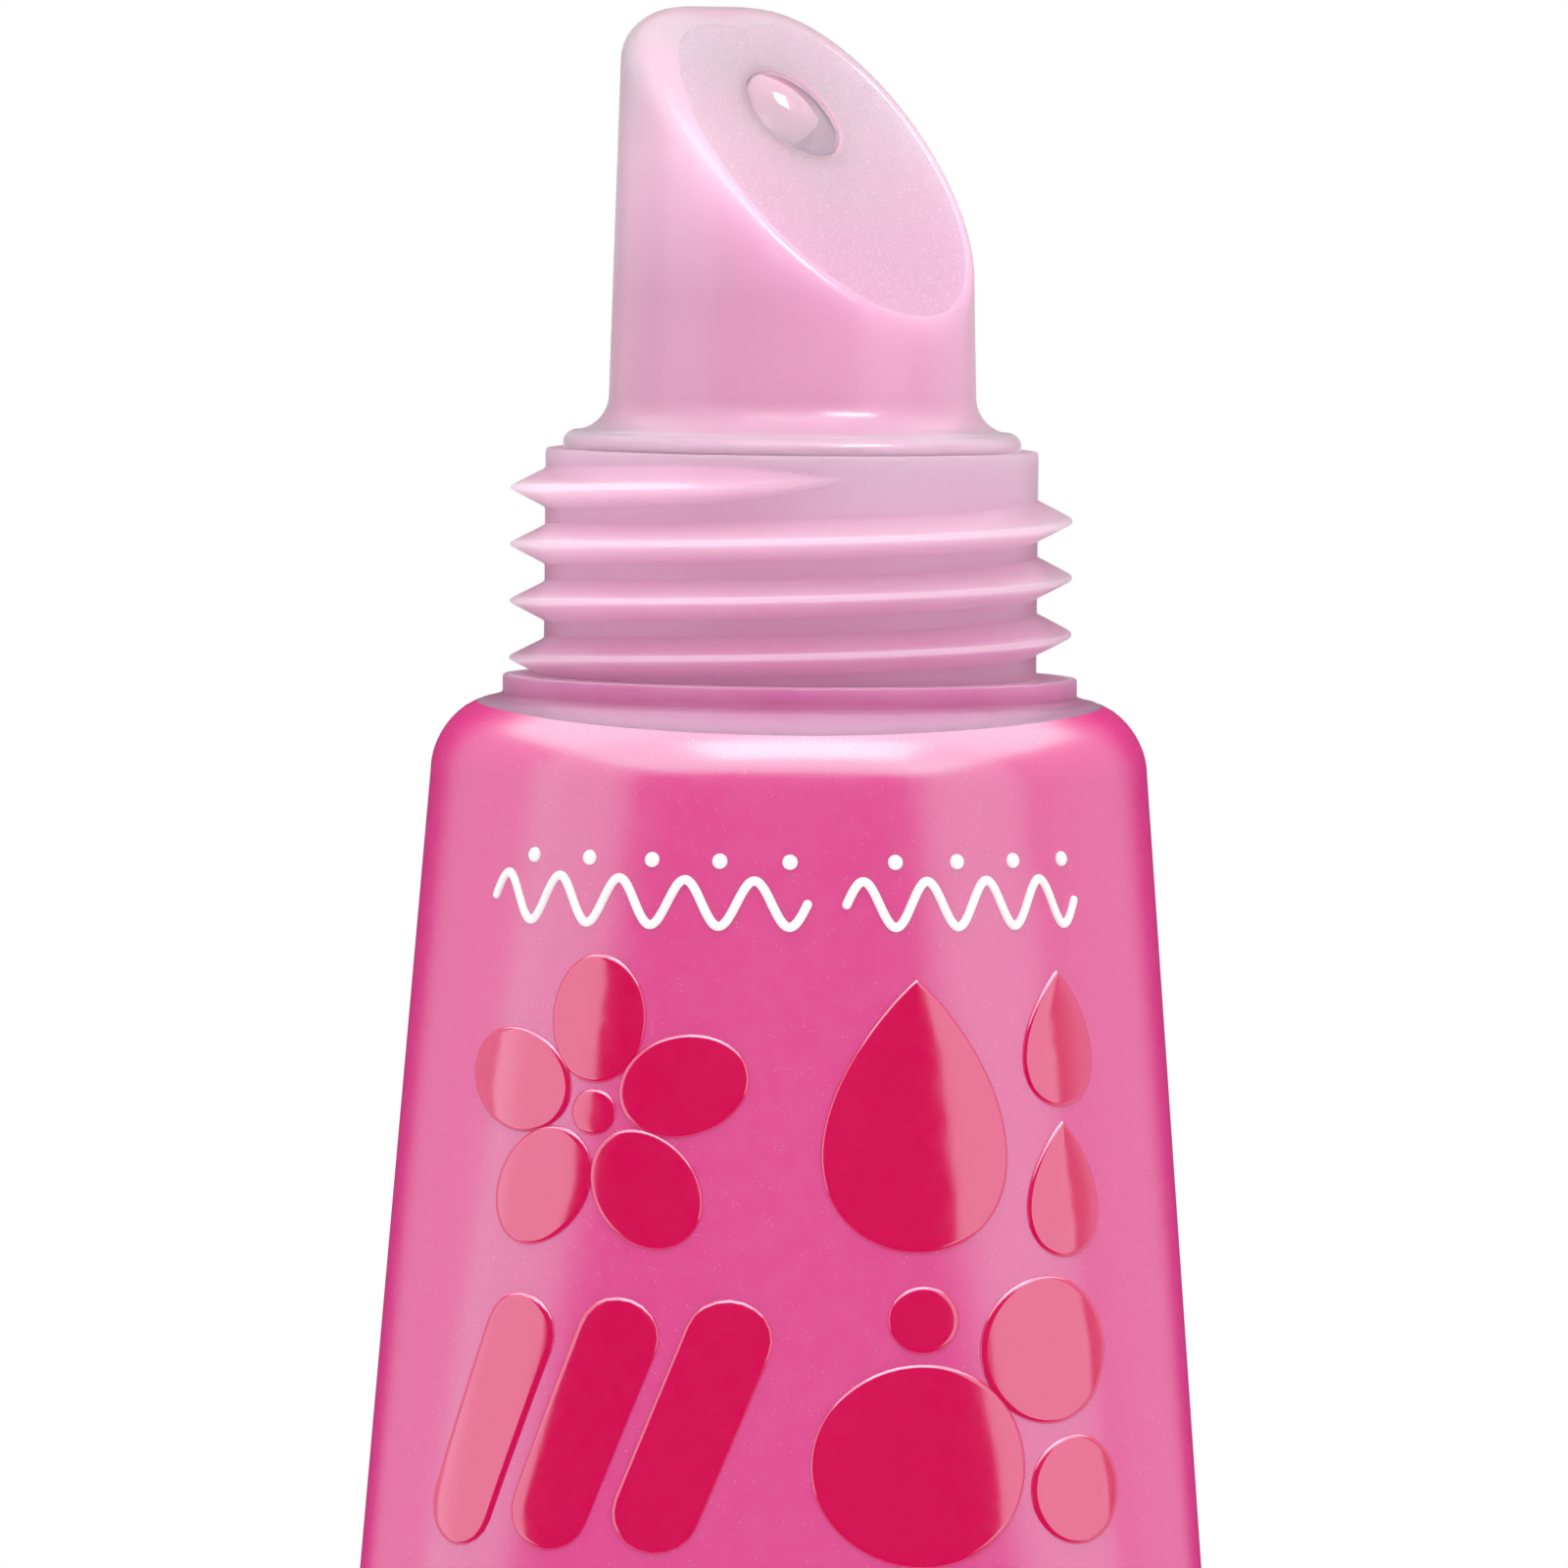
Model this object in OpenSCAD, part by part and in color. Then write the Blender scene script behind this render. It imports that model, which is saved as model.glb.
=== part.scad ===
// Squeeze tube for lip gloss with a slanted applicator tip and a screw cap.
// It is stored cap down: the cap stands on its flat end and the opened tube is held above it, tip down.
// +Z is up, -Y is the printed front, and the origin is the centre of the cap's flat end.
// Each piece is drawn with the tip up and the sleeve's rolled edge at z = 0, and is then turned over.

/* [Sleeve] */
// Diameter of the round end of the sleeve
sleeve_d = 19; // [18.8:0.1:20]
// Length of the sleeve, from its rolled edge to the end of the seal
sleeve_len = 75; // [60:1:100]
// Thickness of the sleeve's wall
sleeve_wall = 0.45; // [0.35:0.05:0.5]
// Height of the flat band that seals the sleeve
seal_h = 5; // [3:0.5:8]
// Height of the rolled edge round the head
edge_h = 1.9; // [1.6:0.1:2.2]

/* [Neck] */
// Diameter of the neck under the thread
neck_d = 13.04; // [12.9:0.02:13.1]
// Height of the neck's flat land above the sleeve's edge
neck_h = 6.68; // [6.5:0.02:7]
// Bore of the neck, which the applicator tip is pressed into
neck_bore_d = 9.2; // [9:0.1:9.4]
// Diameter of the collar below the thread
collar_d = 15.2; // [15:0.1:15.4]
// Diameter over the thread's crests
thread_d = 14.88; // [14.8:0.02:14.94]
// Distance between turns of the thread
thread_pitch = 1.5; // [1.5:0.05:1.6]
// Turns of thread on the neck
thread_turns = 3.75; // [3:0.25:3.75]

/* [Applicator tip] */
// Diameter of the tip where its fillet ends
tip_d = 9.72; // [9.4:0.02:9.9]
// Narrowing of the tip on each side, in degrees
tip_draft = 1.5; // [0.5:0.1:3]
// Height above the land where the slanted face crosses the axis
face_h = 8.95; // [8.5:0.05:9.5]
// Slope of the face, in degrees
face_slope = 49; // [40:1:50]
// Direction that the face looks towards, in degrees from +X, seen from the tip
face_turn = -42; // [-60:1:-30]
// Radius of the rounded rim at its highest point
rim_high_r = 1.55; // [1.2:0.05:1.8]
// Radius of the rounded rim at its sides
rim_side_r = 0.65; // [0.4:0.05:1]
// Radius of the rounded rim at its lowest point
rim_low_r = 0.85; // [0.5:0.05:1.2]
// Diameter of the flange that rests on the land
flange_d = 12.12; // [12:0.02:12.2]
// Diameter of the orifice in the face
orifice_d = 3; // [2.6:0.1:3.4]

/* [Cap] */
// Outside diameter of the cap's mouth
cap_d = 19; // [19:0.1:20]
// Length of the cap
cap_len = 24.5; // [24:0.5:28]
// Wall of the outer shell
cap_wall = 1; // [0.8:0.1:1.1]
// Narrowing of the cap from its mouth to its flat end, on each side
cap_taper = 0.3; // [0:0.1:0.5]
// Whole turns of the thread's pitch from shut to where the cap stands off the tip
cap_turns = 14; // [14:1:20]

/* [Hidden] */

$fn = 96;
loft_n = 64;      // points round each ring of the sleeve and the tip
sleeve_n = 12;    // steps along the sleeve
helix_n = 40;     // sections in each turn of a thread
arc_n = 8;        // steps in each rounded edge
fit_gap = 0.02;   // between pieces that are pressed together
wet_gap = 0.06;   // between the gloss and what holds it

sleeve_r = sleeve_d / 2;
edge_r = sleeve_r - 1.3;              // where the rolled edge meets the head
seal_half = PI * sleeve_r / 2;        // half width of the flattened sleeve
seal_y = sleeve_wall;                 // half thickness of the two walls sealed together
body_h = sleeve_len - seal_h;
bulge = 0.8;                          // below 1, the sides of the full sleeve bulge
seal_power = 12;                      // how square the seal's outline is

neck_r = neck_d / 2;
bore_r = neck_bore_d / 2;
collar_r = collar_d / 2;
collar_z = 0.18;
collar_top = 0.68;
plate_z = -1.1;                       // underside of the head's shoulder
skirt_z = -3.2;                       // end of the skirt inside the sleeve
skirt_wall = 0.6;
crest_r = thread_d / 2;
crest_half = 0.07;
root_half = 0.52;
root_r = neck_r - 0.24;               // the thread starts inside the neck, so that the two join
root_slope = (root_half - crest_half) / (crest_r - neck_r);
thread_z = 0.36;                      // middle of the ridge where it leaves the collar
fade = 0.14;                          // share of a turn over which a ridge runs out

land_z = neck_h;
tip_r = tip_d / 2;
flange_r = flange_d / 2;
flange_h = 0.47;
flange_edge = 0.3;
fillet_r = 0.95;
tip_z = land_z + flange_h + fillet_r; // where the fillet ends
face_z = land_z + face_h;
plug_z = land_z - 5;
plug_r = bore_r - fit_gap;
snap_r = 0.15;                        // height of the bead that holds the plug in the neck
snap_z = land_z - 3.7;
orifice_r = orifice_d / 2;
orifice_h = 1;                        // depth of the orifice, square to the face
channel_r = 1.1;
well_r = 3.2;                         // gloss chamber inside the tip
well_top = tip_z + 2.2;
film_drop = 0.12;                     // the gloss stands this far below the face

cap_gap = 0.25;                       // between the shut cap and the sleeve's edge
cap_travel = cap_turns * thread_pitch;
edge_z = cap_gap + cap_len + cap_travel;
cap_end_z = cap_gap + cap_len;
cap_r = cap_d / 2;
core_r = cap_r - cap_wall;
core_z = 0.95;
core_bore_r = crest_r + 0.16;
core_root_r = core_bore_r + 0.24;
core_crest_r = neck_r + 0.24;
core_root_half = 0.46;
core_turns = 2.5;
liner_h = 0.8;
liner_z = land_z + 0.05;
liner_r = core_bore_r - 0.15;
liner_bore_r = flange_r + 0.1;
tip_bore_r = tip_r + 0.72;
core_wall = 1;
core_roof = cap_end_z - 4.6;
core_step = liner_z + liner_h + 0.03;
rib_n = 8;
end_wall = 1.4;
end_round = 1.3;

assert(core_roof > face_z + tip_r * 0.7, "the cap is too short for the tip");

// --- shared shapes ---

function mix(a, b, t) = a + (b - a) * t;

// Radius along a rolled edge, from r0 at its start (t = 0) to r1 at its end (t = 1)
function rolled(r0, r1, t) = mix(r0, r1, pow(1 - pow(1 - t, 2), 0.7));

// Points of a quarter arc about [r, z], from angle a to angle b
function arc(r, z, radius, a, b) =
    [for (i = [0:arc_n]) let (d = mix(a, b, i / arc_n)) [r + radius * cos(d), z + radius * sin(d)]];

// A ring of half width a and half depth b: an ellipse at power 2, and squarer as the power rises
function ring(a, b, power, z) =
    [for (i = [0:loft_n - 1]) let (d = (i + 0.5) * 360 / loft_n)
        [a * cos(d), b * sign(sin(d)) * pow(1 - pow(abs(cos(d)), power), 1 / power), z]];

// A round ring
function circle_ring(r, z) = ring(r, r, 2, z);

// The ring at a height on the sleeve, a distance in from its outside. A full tube bulges, so its depth
// falls away slowly at first.
function sleeve_ring(z, inset) =
    let (t = (-z - edge_h) / (body_h - edge_h))
    ring(mix(sleeve_r, seal_half, t) - inset, mix(seal_y, sleeve_r, pow(1 - t, bulge)) - inset,
         mix(2, seal_power, pow(t, 3)), z);

// A closed solid through a list of rings, with a point on the axis at each end
module rings_solid(rings, first_z, last_z) {
    n = len(rings[0]);
    m = len(rings);
    points = concat([for (r = rings) each r], [[0, 0, first_z], [0, 0, last_z]]);
    sides = [for (k = [0:m - 2], i = [0:n - 1]) let (j = (i + 1) % n)
        each [[k * n + i, (k + 1) * n + i, (k + 1) * n + j], [k * n + i, (k + 1) * n + j, k * n + j]]];
    ends = [for (i = [0:n - 1]) let (j = (i + 1) % n)
        each [[m * n, i, j], [m * n + 1, (m - 1) * n + j, (m - 1) * n + i]]];
    polyhedron(points, concat(sides, ends), convexity = 6);
}

// A helical ridge from its root radius to its crest radius, which fades into its wall at both ends
module ridge(z, turns, root, crest, root_half, crest_half) {
    n = ceil(turns * helix_n);
    out = crest > root;
    sections = [for (k = [0:n]) let (
            turn = turns * k / n,
            share = max(0.12, min(1, min(turn, turns - turn) / fade)),
            tip = mix(root, crest, share),
            mid = z + thread_pitch * turn,
            low = [[root, mid - root_half], [tip, mid - crest_half * share]],
            high = [[tip, mid + crest_half * share], [root, mid + root_half]],
            outline = out ? concat(low, high) : [high[1], high[0], low[1], low[0]])
        [for (p = outline) [p[0] * cos(360 * turn), p[0] * sin(360 * turn), p[1]]]];
    points = [for (s = sections) each s];
    sides = [for (k = [0:n - 1], i = [0:3]) let (j = (i + 1) % 4)
        each [[4 * k + i, 4 * k + j, 4 * k + 4 + j], [4 * k + i, 4 * k + 4 + j, 4 * k + 4 + i]]];
    ends = [[3, 2, 1, 0], [4 * n, 4 * n + 1, 4 * n + 2, 4 * n + 3]];
    polyhedron(points, concat(sides, ends), convexity = 10);
}

// Turns a piece over, from tip up at z = 0 to its stored place
module stored() {
    translate([0, 0, edge_z]) rotate([0, 180, 0]) children();
}

// The same for a piece of the cap, which stands off the tip
module stored_cap() {
    stored() translate([0, 0, cap_travel]) children();
}

// Puts a piece square to the slanted face, with z = 0 at the face
module on_face() {
    rotate([0, 0, face_turn]) translate([0, 0, face_z]) rotate([0, face_slope, 0]) children();
}

// --- tube ---

module sleeve() {
    outside = concat(
        [for (z = [-sleeve_len, -body_h]) ring(seal_half, seal_y, seal_power, z)],
        [for (i = [sleeve_n - 1:-1:0]) sleeve_ring(mix(-edge_h, -body_h, i / sleeve_n), 0)],
        [for (i = [arc_n - 1:-1:0]) circle_ring(rolled(edge_r, sleeve_r, i / arc_n), -edge_h * i / arc_n)]);
    inner_top = -edge_h * 0.24;
    inner_end = mix(-edge_h, -body_h, 0.97);
    inside = concat(
        [for (i = [0:arc_n - 1]) let (t = i / arc_n)
            circle_ring(rolled(edge_r - 0.08, sleeve_r - sleeve_wall, t), mix(inner_top, -edge_h, t))],
        [for (i = [0:sleeve_n]) sleeve_ring(mix(-edge_h, inner_end, i / sleeve_n), sleeve_wall)]);
    color("hotpink") stored() rings_solid(concat(outside, inside), -sleeve_len, inner_end);
}

module threaded_head() {
    seat_r = edge_r - 0.14;
    under = -edge_h * 0.24 - 0.03;
    fit_r = sleeve_r - sleeve_wall - 0.05;
    outline = concat(
        [[fit_r - skirt_wall, skirt_z], [fit_r - 0.1, skirt_z], [fit_r, skirt_z + 0.15], [fit_r, -edge_h]],
        [for (i = [arc_n - 1:-1:0]) [rolled(seat_r, fit_r, i / arc_n), mix(under, -edge_h, i / arc_n)]],
        [[seat_r, 0.02], [collar_r, collar_z], [collar_r, collar_top - 0.06], [collar_r - 0.06, collar_top]],
        [[neck_r, collar_top], [neck_r, land_z - 0.15], [neck_r - 0.15, land_z]],
        [[bore_r + 0.2, land_z], [bore_r, land_z - 0.2]],
        [[bore_r, snap_z + 0.3], [bore_r + snap_r, snap_z + 0.12], [bore_r + snap_r, snap_z - 0.12],
         [bore_r, snap_z - 0.3]],
        [[bore_r, plate_z], [fit_r - skirt_wall, plate_z]]);
    color([0.93, 0.75, 0.85]) stored() union() {
        rotate_extrude() polygon(outline);
        ridge(thread_z, thread_turns, root_r, crest_r, root_half + 0.24 * root_slope, crest_half);
    }
}

// The tip in upright sections: at each direction, the drafted side and the face meet in a round rim
module tip_body() {
    turns = [for (i = [0:loft_n - 1]) 360 * i / loft_n];
    low_z = tip_z - 0.1;
    lean = tan(tip_draft);
    base = [for (d = turns) [(tip_r - 0.01) * cos(d), (tip_r - 0.01) * sin(d), low_z]];
    rim = [for (k = [0:arc_n]) [for (d = turns) let (
        fall = tan(face_slope) * cos(d),
        side = 90 - atan2(1, lean),
        face = 90 - atan(fall),
        round_r = (rim_high_r + rim_low_r + 2 * rim_side_r) / 4 + cos(d) * (rim_low_r - rim_high_r) / 2
                  + cos(2 * d) * (rim_high_r + rim_low_r - 2 * rim_side_r) / 4,
        side_in = (tip_r + lean * tip_z) * cos(side) - round_r,
        face_in = face_z * sin(face) - round_r,
        det = sin(face - side),
        mid_r = (side_in * sin(face) - face_in * sin(side)) / det,
        mid_z = (face_in * cos(side) - side_in * cos(face)) / det,
        a = mix(side, face, k / arc_n),
        r = mid_r + round_r * cos(a))
        [r * cos(d), r * sin(d), mid_z + round_r * sin(a)]]];
    rotate([0, 0, face_turn]) rings_solid(concat([base], rim), low_z, face_z);
}

module applicator_tip() {
    outline = concat(
        [[0, plug_z], [plug_r - 0.3, plug_z], [plug_r, plug_z + 0.4], [plug_r, snap_z - 0.25]],
        [[plug_r + snap_r, snap_z - 0.08], [plug_r + snap_r, snap_z + 0.08], [plug_r, snap_z + 0.25]],
        [[plug_r, land_z - 0.2], [plug_r + 0.2, land_z + fit_gap / 2], [flange_r, land_z + fit_gap / 2]],
        arc(flange_r - flange_edge, land_z + flange_h - flange_edge, flange_edge, 0, 90),
        arc(tip_r + fillet_r, tip_z, fillet_r, 270, 180),
        [[tip_r - 0.08, tip_z + 0.05], [tip_r - 0.1, tip_z + 1], [0, tip_z + 1]]);
    well = [[0, plug_z - 1], [well_r + 0.3, plug_z - 1], [well_r + 0.3, plug_z + 0.3], [well_r, plug_z + 0.8],
            [well_r, well_top - 1.2], [channel_r, well_top + 0.6], [0, well_top + 0.6]];
    color([0.93, 0.75, 0.85]) stored() difference() {
        union() {
            tip_body();
            rotate_extrude() polygon(outline);
        }
        rotate_extrude() polygon(well);
        translate([0, 0, well_top]) cylinder(r = channel_r, h = face_z - well_top - 0.4);
        on_face() translate([0, 0, -orifice_h]) cylinder(r = orifice_r, h = 5);
    }
}

module gloss_fill() {
    top = plate_z - wet_gap;
    skirt_r = sleeve_r - sleeve_wall - 0.05 - skirt_wall - wet_gap;
    below_skirt = skirt_z - wet_gap;
    fill_end = -body_h * 0.88;
    rings = concat(
        [for (i = [sleeve_n:-1:0]) sleeve_ring(mix(below_skirt, fill_end, i / sleeve_n), sleeve_wall + wet_gap)],
        [circle_ring(skirt_r, below_skirt + 0.01), circle_ring(skirt_r, top)]);
    color("deeppink") stored() rings_solid(rings, fill_end, top);
}

module tip_gloss() {
    r = well_r - wet_gap;
    column = [[0, plate_z + fit_gap], [bore_r - wet_gap, plate_z + fit_gap], [bore_r - wet_gap, plug_z - wet_gap],
              [r, plug_z - wet_gap], [r, well_top - 1.25], [channel_r - fit_gap, well_top + 0.5],
              [channel_r - fit_gap, face_z - 0.6], [0, face_z - 0.6]];
    color("deeppink") stored() union() {
        rotate_extrude() polygon(column);
        on_face() translate([0, 0, fit_gap - orifice_h])
            cylinder(r = orifice_r - fit_gap, h = orifice_h - fit_gap - film_drop);
    }
}

// --- cap ---

module cap_shell() {
    end_r = cap_r - cap_taper;
    outline = concat(
        [[core_r, cap_gap], [cap_r - 0.15, cap_gap], [cap_r, cap_gap + 0.15]],
        arc(end_r - end_round, cap_end_z - end_round, end_round, 0, 90),
        [[0, cap_end_z], [0, cap_end_z - end_wall], [core_r - 0.8, cap_end_z - end_wall],
         [core_r, cap_end_z - end_wall - 0.8]]);
    color("deeppink") stored_cap() rotate_extrude() polygon(outline);
}

module cap_core() {
    fit_r = core_r - fit_gap;
    tube_r = tip_bore_r + core_wall;
    outline = [
        [core_bore_r + 0.2, core_z], [fit_r, core_z], [fit_r, core_step], [tube_r, core_step + 1.2],
        [tube_r, core_roof], [tube_r - 0.5, core_roof + core_wall], [0, core_roof + core_wall],
        [0, core_roof], [tip_bore_r - 0.6, core_roof], [tip_bore_r, core_roof - 0.6],
        [tip_bore_r, core_step], [core_bore_r, core_step], [core_bore_r, core_z + 0.2]];
    rib_len = fit_r - tube_r + 0.4;
    rib_z = core_step + 0.9;
    color("hotpink") stored_cap() union() {
        rotate_extrude() polygon(outline);
        for (i = [0:rib_n - 1]) rotate([0, 0, 360 * (i + 0.5) / rib_n])
            translate([tube_r - 0.4, -0.4, rib_z]) cube([rib_len - 0.1, 0.8, core_roof - rib_z]);
        rotate([0, 0, 180])
            ridge(thread_z + thread_pitch, core_turns, core_root_r, core_crest_r,
                  core_root_half + 0.1, crest_half);
    }
}

module cap_liner() {
    color("white") stored_cap() translate([0, 0, liner_z]) difference() {
        cylinder(r = liner_r, h = liner_h);
        translate([0, 0, -1]) cylinder(r = liner_bore_r, h = liner_h + 2);
    }
}

sleeve();
threaded_head();
applicator_tip();
gloss_fill();
tip_gloss();
cap_shell();
cap_core();
cap_liner();
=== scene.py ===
"""Looks of the lip gloss tube: a pearly squeeze tube with a translucent threaded neck and a slanted tip.

Shapes are made in millimetres in the tube's own frame: the axis is Z, the tip points up, the sleeve's
rolled edge is at z = 0, the printed front faces -Y and +X is at the right of the picture. add_piece()
turns them over into the row frame, where the tube hangs tip down over its cap.
"""
import math

import bmesh
import bpy
import numpy as np
from mathutils import Matrix, Vector


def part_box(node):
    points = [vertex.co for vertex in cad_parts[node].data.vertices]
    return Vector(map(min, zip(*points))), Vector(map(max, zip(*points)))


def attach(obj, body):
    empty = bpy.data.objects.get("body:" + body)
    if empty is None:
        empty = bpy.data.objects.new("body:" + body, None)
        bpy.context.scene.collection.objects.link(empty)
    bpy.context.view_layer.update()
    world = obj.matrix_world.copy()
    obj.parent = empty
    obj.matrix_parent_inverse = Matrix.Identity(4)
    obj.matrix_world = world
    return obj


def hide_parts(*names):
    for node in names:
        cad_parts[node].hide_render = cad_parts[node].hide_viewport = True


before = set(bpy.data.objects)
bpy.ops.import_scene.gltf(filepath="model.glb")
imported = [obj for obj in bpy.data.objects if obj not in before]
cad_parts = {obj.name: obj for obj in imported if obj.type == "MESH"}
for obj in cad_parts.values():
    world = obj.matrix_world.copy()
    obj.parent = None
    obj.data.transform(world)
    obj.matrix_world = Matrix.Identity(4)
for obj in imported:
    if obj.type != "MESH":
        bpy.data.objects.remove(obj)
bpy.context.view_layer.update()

# ---------- sizes in millimetres, the driving ones from the frame ----------

MM = 0.001


def box_mm(node):
    """Lowest and highest corner of a CAD node, in millimetres."""
    low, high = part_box(node)
    return np.array(low) / MM, np.array(high) / MM


sleeve_low, sleeve_high = box_mm("sleeve")
head_low = box_mm("threaded_head")[0]
shell_low, shell_high = box_mm("cap_shell")
core_low, core_high = box_mm("cap_core")

CAP_GAP = 0.25                                  # between the shut cap and the sleeve's edge
EDGE_Z = sleeve_low[2]                          # height of the sleeve's rolled edge in the row frame
CAP_EDGE_Z = shell_high[2] + CAP_GAP            # the same for the pieces of the cap, which is off
SLEEVE_R = (sleeve_high[1] - sleeve_low[1]) / 2
SEAL_HALF = (sleeve_high[0] - sleeve_low[0]) / 2
SLEEVE_LEN = sleeve_high[2] - sleeve_low[2]
SLEEVE_WALL = 0.45
WET_GAP = 0.06                                  # between the gloss and what holds it
SEAL_H = 5
BODY_H = SLEEVE_LEN - SEAL_H
EDGE_H = 1.9
EDGE_R = SLEEVE_R - 1.3
BULGE = 0.8                                     # how soon the sleeve's depth falls off towards the seal
SEAL_POWER = 12                                 # squareness of the sleeve at the seal; 2 is round
RIB_PITCH = 0.62
RIB_DEPTH = 0.05

LAND_Z = EDGE_Z - head_low[2]
NECK_R = 6.52
CREST_R = 7.44
PITCH = 1.5
THREAD_Z = 0.36
THREAD_TURNS = 3.78
ROOT_HALF = 0.52
CREST_HALF = 0.05
BORE_R = 4.6
COLLAR_R = 7.6
COLLAR_Z = 0.18
COLLAR_TOP = 0.68
SKIRT_Z = -3.2
SKIRT_WALL = 0.6
SKIRT_R = SLEEVE_R - SLEEVE_WALL - 0.05         # clear of the sleeve's wall by the last figure
PLATE_Z = -1.1
CREST_SOFT = 0.04                               # how gently the thread's flank turns into its crest

TIP_R = 4.86
TIP_LEAN = math.tan(math.radians(1.5))
FLANGE_R = 6.06
FLANGE_H = 0.47
FILLET_R = 0.95
TIP_Z = LAND_Z + FLANGE_H + FILLET_R
FACE_Z = LAND_Z + 8.95
FACE_SLOPE = math.radians(49)
FACE_TURN = math.radians(-42)
FACE_DOWN = np.array([math.cos(FACE_SLOPE), 0, -math.sin(FACE_SLOPE)])      # down its slope
FACE_OUT = np.array([math.sin(FACE_SLOPE), 0, math.cos(FACE_SLOPE)])        # out of it
FACE_STEP = 0.03                                # the grained face lies this far below its rim
RIM_HIGH, RIM_SIDE, RIM_LOW = 1.55, 0.6, 0.6    # radius of the rim at the face's top, sides and foot
PLUG_Z = LAND_Z - 5
ORIFICE_R = 1.5
ORIFICE_H = 1.0
CHANNEL_R = 1.1
WELL_R = 3.2
WELL_TOP = TIP_Z + 2.2

CAP_LEN = shell_high[2] - shell_low[2]
CAP_R = (shell_high[0] - shell_low[0]) / 2
CAP_END = CAP_GAP + CAP_LEN
CAP_BORE_R = CAP_R - 1
CORE_Z = 0.95
CORE_R = (core_high[0] - core_low[0]) / 2
CORE_BORE_R = CREST_R + 0.16
CORE_CREST = 0.84                               # how far the cap's thread stands out of its bore
LINER_Z, LINER_H = LAND_Z + 0.05, 0.8
CORE_STEP = LINER_Z + LINER_H + 0.03
CORE_ROOF = CAP_END - 4.6
TIP_BORE_R = TIP_R + 0.72
RIBS = 8

COLUMNS = 200                                   # points round a piece
FLANK_ROWS = 10                                 # points across one flank of the thread

# The camera, level with the tip, and the soft boxes' distance from the tube
CAMERA_AWAY = 400
CAMERA_DROP = 17.61
CAMERA_SIDE = 0.126
CAMERA_TILT = math.radians(2.833)
CAMERA_ROLL = math.radians(0.568)
LENS, SENSOR = 347.2, 36
BOX_AWAY = 500

# ---------- geometry helpers ----------


def mix(a, b, share):
    return a + (b - a) * share


def turns_of(count):
    """Angles of a full turn."""
    return np.arange(count) * 2 * math.pi / count


def ring(r, z, angles):
    """Points round the axis; r and z are numbers or arrays."""
    return np.stack([r * np.cos(angles), r * np.sin(angles), z + 0 * angles], 1)


def rounded(corners, steps=4):
    """An outline through corners (r, z, cut), where each corner is rounded from a distance cut before it."""
    points = []
    for i, (r, z, cut) in enumerate(corners):
        here = np.array([r, z])
        if cut == 0:
            points.append(here)
            continue
        before = np.array(corners[i - 1][:2]) - here
        after = np.array(corners[(i + 1) % len(corners)][:2]) - here
        start = here + before / np.linalg.norm(before) * cut
        end = here + after / np.linalg.norm(after) * cut
        for u in np.linspace(0, 1, steps + 1):
            points.append((1 - u) ** 2 * start + 2 * u * (1 - u) * here + u ** 2 * end)
    return points


def arc(r, z, radius, first, last, steps=8):
    """Points of an arc about (r, z), between two angles in degrees."""
    angles = np.radians(np.linspace(first, last, steps + 1))
    return [np.array([r + radius * math.cos(a), z + radius * math.sin(a)]) for a in angles]


class Shape:
    """Points and faces of a piece; several surfaces may be added and are welded together."""

    def __init__(self):
        self.points, self.faces, self.skins = [], [], []

    def rings(self, rings, loop=False, skin=0):
        """A surface through rings of equally many points; skin is a material number, or one per band."""
        rings = [np.asarray(r) for r in rings]
        base = sum(len(p) for p in self.points)
        count = len(rings[0])
        self.points += rings
        bands = len(rings) if loop else len(rings) - 1
        skins = skin if isinstance(skin, (list, tuple)) else [skin] * bands
        for k in range(bands):
            here, there = base + k * count, base + ((k + 1) % len(rings)) * count
            for i in range(count):
                j = (i + 1) % count
                self.faces.append((here + i, here + j, there + j, there + i))
                self.skins.append(skins[k])
        return self

    def lathe(self, outline, loop=True):
        """A surface turned round the axis from an outline of (r, z) points."""
        angles = turns_of(COLUMNS)
        return self.rings([ring(r, z, angles) for r, z in outline], loop)

    def mesh(self):
        """A bmesh of the shape with its points welded."""
        bm = bmesh.new()
        verts = [bm.verts.new(p) for p in np.concatenate(self.points)]
        for corners, skin in zip(self.faces, self.skins):
            face = bm.faces.new([verts[c] for c in corners])
            face.material_index = skin
        bmesh.ops.remove_doubles(bm, verts=bm.verts, dist=1e-4)
        return bm


def add_piece(name, bm, body, materials, replaced=(), edge_z=None, crease=32):
    """Turns a shape over into the row frame and adds it as a piece that rides on a body."""
    edge_z = EDGE_Z if edge_z is None else edge_z
    bmesh.ops.recalc_face_normals(bm, faces=bm.faces)
    turned = Matrix.Diagonal((-MM, MM, -MM, 1))
    turned.translation = (0, 0, edge_z * MM)
    bmesh.ops.transform(bm, matrix=turned, verts=bm.verts)
    mesh = bpy.data.meshes.new(name)
    bm.to_mesh(mesh)
    bm.free()
    mesh.shade_smooth()
    mesh.set_sharp_from_angle(angle=math.radians(crease))
    for material in materials:
        mesh.materials.append(material)
    piece = bpy.data.objects.new(name, mesh)
    bpy.context.scene.collection.objects.link(piece)
    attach(piece, body)
    if replaced:
        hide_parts(*replaced)
    return piece


# ---------- the sleeve's surface, which the print follows ----------


def rolled(start, end, share):
    """Radius along a rolled edge, from start to end."""
    return start + (end - start) * (1 - (1 - share) ** 2) ** 0.7


def lip_height(angles):
    """Heights of the sleeve's edge, where the head shows a little lower at the front and back."""
    return -0.03 - 0.46 * np.sin(angles) ** 2


def flattened(z):
    """0 at the round end of the sleeve to 1 at the seal."""
    return np.clip((-z - EDGE_H) / (BODY_H - EDGE_H), 0, 1)


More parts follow.
